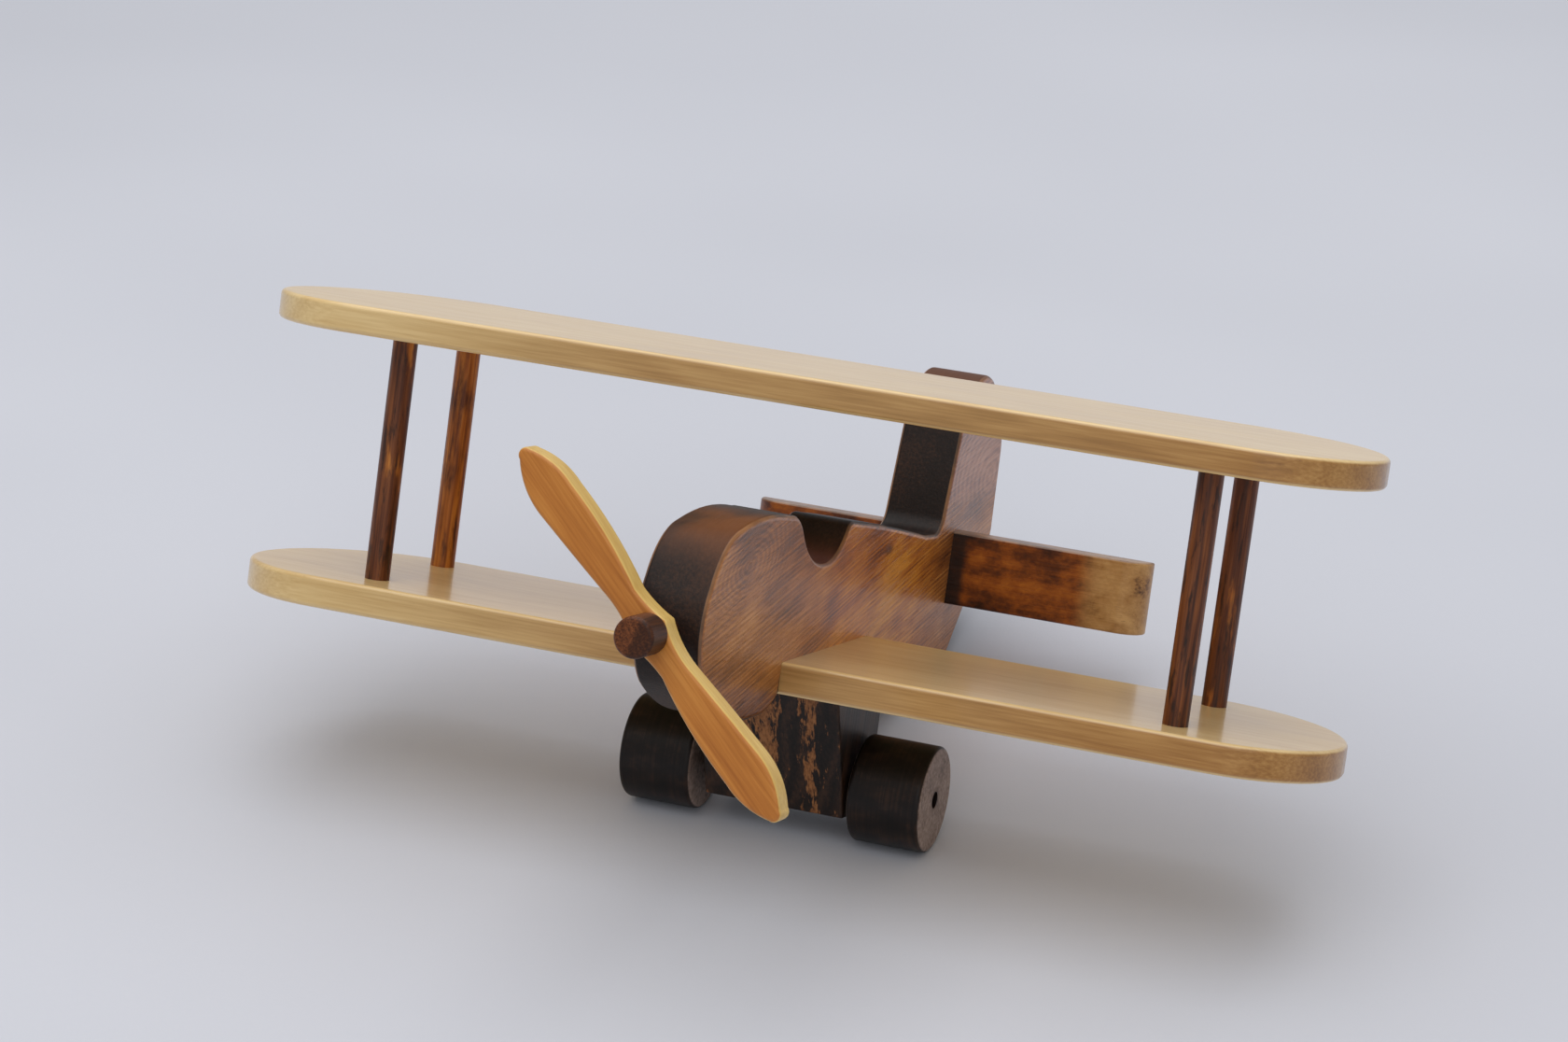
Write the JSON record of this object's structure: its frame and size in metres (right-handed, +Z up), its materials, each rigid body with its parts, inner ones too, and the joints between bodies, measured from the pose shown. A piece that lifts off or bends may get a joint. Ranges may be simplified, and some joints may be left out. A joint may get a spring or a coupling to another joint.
{
  "type": "model biplane",
  "caption": "Small wooden biplane with a board fuselage, dowel struts, a propeller that spins on a nose peg and wheels that turn on an axle under the lower wing.",
  "frame": {"origin": "centre of the bounding box's footprint, on the ground the wheels and tail foot stand on", "axes": "+X to port along the wings, +Y aft along the ground, +Z up; the nose points to -Y and up"},
  "size_m": [0.29, 0.2592, 0.1327],
  "materials": {
    "fuselage_wood": "varnished brown board, worn pale at the edges",
    "wing_wood": "pale cream plank under gloss varnish",
    "strut_wood": "dark red-brown stained dowel",
    "tailplane_wood": "mottled orange-brown varnished plank",
    "block_wood": "near-black stained block",
    "wheel_wood": "near-black stained turned wheel",
    "axle_wood": "plain dowel",
    "peg_wood": "red-brown axle peg",
    "propeller_wood": "honey-orange varnished wood"
  },
  "bodies": {
    "airframe": {"fuselage": "fuselage_wood", "lower_wing": "wing_wood", "upper_wing": "wing_wood", "strut_front_port": "strut_wood", "strut_rear_port": "strut_wood", "strut_front_starboard": "strut_wood", "strut_rear_starboard": "strut_wood", "tailplane": "tailplane_wood", "landing_gear_block": "block_wood", "propeller_peg": "peg_wood"},
    "propeller": {"propeller": "propeller_wood"},
    "wheels": {"axle": "axle_wood", "wheel_port": "wheel_wood", "wheel_starboard": "wheel_wood"}
  },
  "joints": [
    {"name": "propeller_spin", "type": "hinge", "parent": "airframe", "child": "propeller", "pos_m": [0.0013, -0.11797, 0.0973], "axis": [0, -0.9477, 0.3192], "continuous": true},
    {"name": "wheel_spin", "type": "hinge", "parent": "airframe", "child": "wheels", "pos_m": [0.0013, -0.01951, 0.0137], "axis": [1, 0, 0], "continuous": true}
  ]
}
